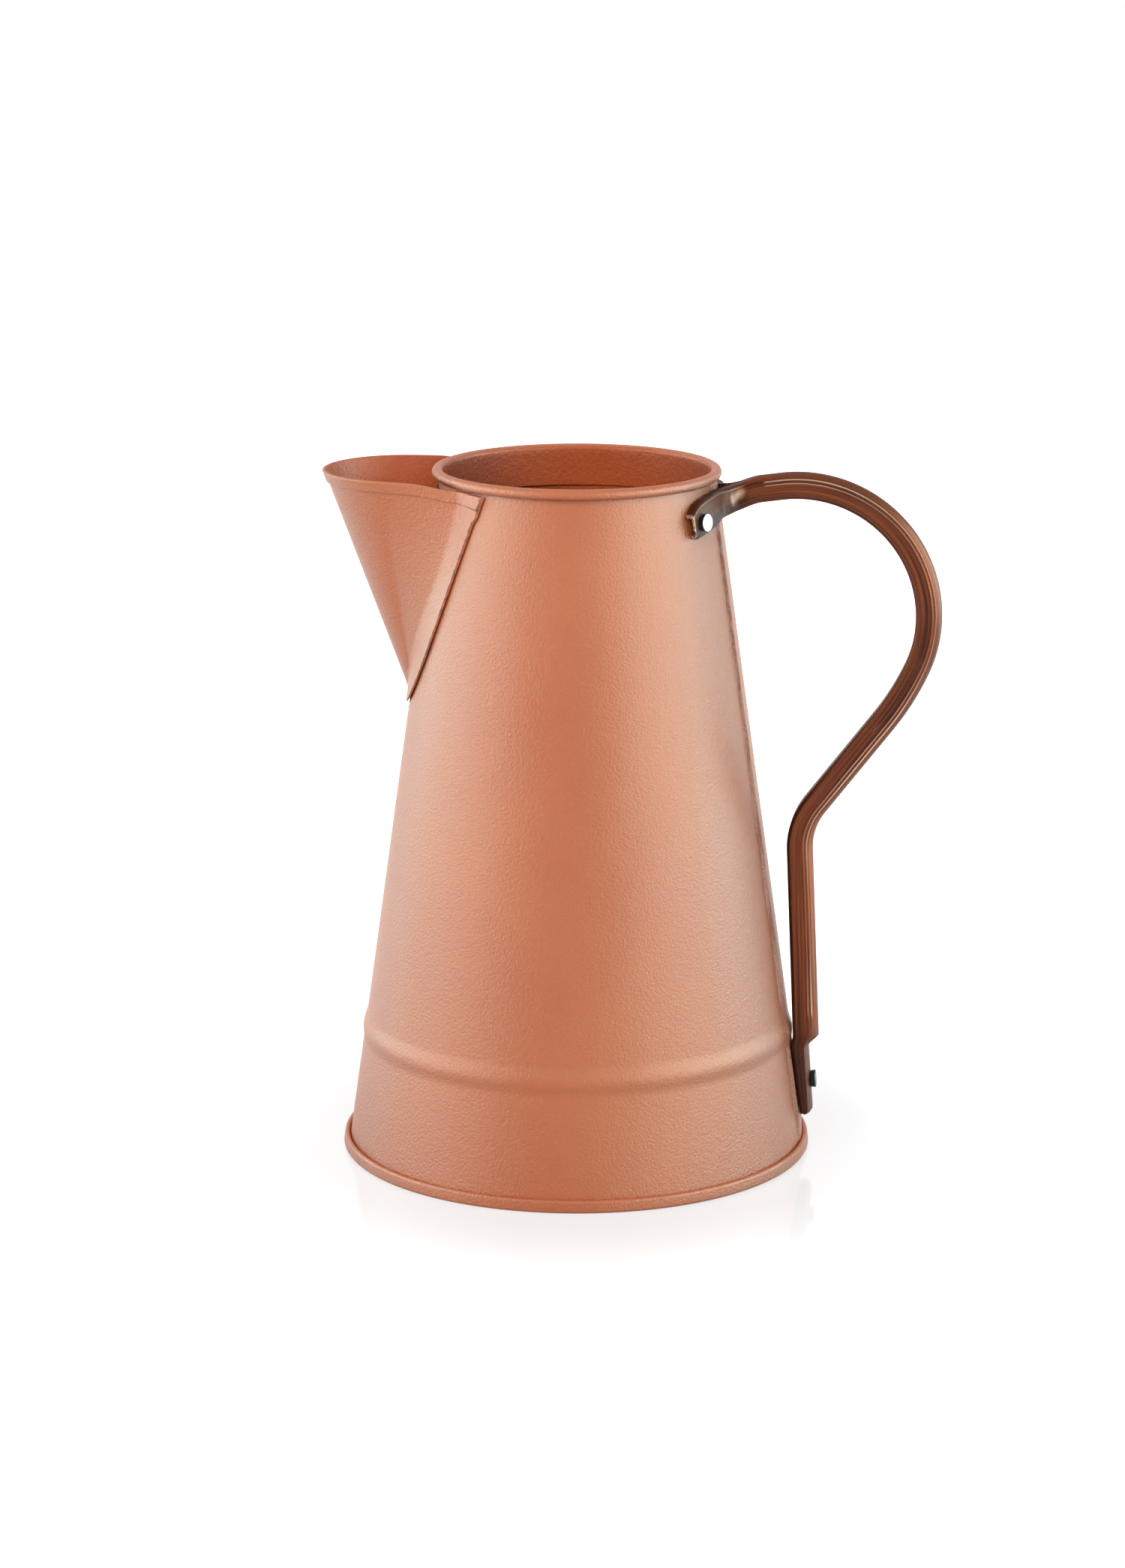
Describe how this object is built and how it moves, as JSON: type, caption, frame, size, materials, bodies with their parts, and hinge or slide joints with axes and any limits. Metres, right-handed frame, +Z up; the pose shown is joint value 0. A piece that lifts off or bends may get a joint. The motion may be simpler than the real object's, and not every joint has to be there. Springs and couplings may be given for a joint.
{
  "type": "watering can",
  "caption": "Tapered sheet-metal watering jug with a wide open scoop spout under its rolled rim and a forked handle riveted to the back.",
  "frame": {"origin": "centre of the base, on the surface the can stands on", "axes": "+Z up out of the mouth, the spout points along -X, the handle along +X, and Y runs across; the can mirrors about Y = 0"},
  "size_m": [0.2483, 0.191, 0.28],
  "materials": {
    "coated_sheet": "satin copper-coloured powder coat with a fine orange-peel texture",
    "browned_sheet": "antiqued brown copper lacquer, worn on the ridges",
    "bare_rivet": "bare, slightly dull face",
    "browned_rivet": "lacquered over with the handle",
    "steel_wire": "bare galvanised steel",
    "sealant": "matt dark elastomer"
  },
  "bodies": {
    "root": {"body_shell": "coated_sheet", "base_disc": "coated_sheet", "spout_shell": "coated_sheet", "rim_wire": "steel_wire", "base_seam_sealant": "sealant", "spout_joint_sealant": "sealant", "handle": "browned_sheet", "upper_rivets": "bare_rivet", "lower_rivet": "browned_rivet", "upper_rivet_washers": "steel_wire", "lower_rivet_washer": "steel_wire"}
  },
  "joints": []
}
